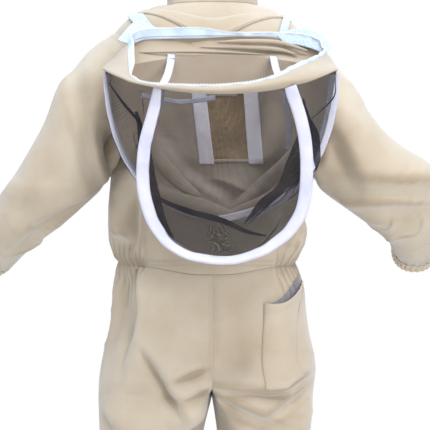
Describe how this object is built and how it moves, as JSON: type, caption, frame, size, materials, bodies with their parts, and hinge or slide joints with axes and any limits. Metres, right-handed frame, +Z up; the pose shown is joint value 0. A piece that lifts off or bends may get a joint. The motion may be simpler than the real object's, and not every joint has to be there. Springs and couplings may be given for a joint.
{
  "type": "beekeeping suit",
  "caption": "One-piece khaki beekeeping coverall with a zip-on fencing-veil hood thrown back, gathered waist, elastic cuffs and patch pockets.",
  "frame": {"origin": "centre of the neck opening, on the seam under the stand collar, where the wearer's neck holds the suit up", "axes": "+Z up through the head, -Y the way the wearer faces, +X the wearer's left"},
  "size_m": [0.9079, 0.5182, 1.449],
  "materials": {
    "khaki_twill": "matte",
    "gathered_cuff": "matte",
    "white_tape": "matte",
    "black_net": "matte",
    "veil_hoop": "satin",
    "zip_teeth": "satin",
    "zip_metal": "satin"
  },
  "bodies": {
    "suit": {"back_bodice": "khaki_twill", "left_front_bodice": "khaki_twill", "right_front_bodice": "khaki_twill", "stand_collar": "khaki_twill", "left_sleeve": "khaki_twill", "right_sleeve": "khaki_twill", "left_wrist_cuff": "gathered_cuff", "right_wrist_cuff": "gathered_cuff", "left_trouser_leg": "khaki_twill", "right_trouser_leg": "khaki_twill", "left_ankle_cuff": "gathered_cuff", "right_ankle_cuff": "gathered_cuff", "left_waist_elastic": "gathered_cuff", "right_waist_elastic": "gathered_cuff", "rear_hip_pocket": "khaki_twill", "chest_pocket": "khaki_twill", "left_front_zip_tape": "white_tape", "right_front_zip_tape": "white_tape", "front_zip_teeth": "zip_teeth", "neck_zip_tape": "white_tape", "left_neck_zip_slider": "zip_metal", "right_neck_zip_slider": "zip_metal"},
    "hood": {"hood_yoke": "khaki_twill", "hood_back": "khaki_twill", "hood_side_mesh": "black_net", "hood_face_mesh": "black_net", "vent_mesh": "black_net", "left_vent_tape": "white_tape", "right_vent_tape": "white_tape", "front_hoop": "veil_hoop", "front_hoop_tape": "white_tape", "crown_hoop": "veil_hoop", "crown_hoop_tape": "white_tape", "left_inner_tape": "white_tape", "right_inner_tape": "white_tape", "hood_zip_tape": "white_tape", "left_hook_patch": "white_tape", "right_hook_patch": "white_tape"},
    "front_zip_slider": {"front_zip_slider": "zip_metal"},
    "front_zip_pull": {"front_zip_pull": "zip_metal"},
    "left_neck_zip_pull": {"left_neck_zip_pull": "zip_metal"},
    "right_neck_zip_pull": {"right_neck_zip_pull": "zip_metal"}
  },
  "joints": [
    {"name": "hood_flip", "type": "hinge", "parent": "suit", "child": "hood", "pos_m": [-0.018, 0.099, -0.05], "axis": [1, 0, 0], "range_deg": [0, 170]},
    {"name": "front_zip", "type": "slide", "parent": "suit", "child": "front_zip_slider", "axis": [0, 0, 1], "range_m": [-0.54, 0]},
    {"name": "front_pull_swing", "type": "hinge", "parent": "front_zip_slider", "child": "front_zip_pull", "pos_m": [0, -0.1202, -0.086], "axis": [-1, 0, 0], "range_deg": [0, 150]},
    {"name": "left_neck_pull_swing", "type": "hinge", "parent": "suit", "child": "left_neck_zip_pull", "pos_m": [0.14149, -0.007, -0.01604], "axis": [-0.8366, 0, 0.5478], "range_deg": [0, 150]},
    {"name": "right_neck_pull_swing", "type": "hinge", "parent": "suit", "child": "right_neck_zip_pull", "pos_m": [-0.14149, -0.007, -0.01604], "axis": [-0.8366, 0, -0.5478], "range_deg": [0, 150]}
  ]
}
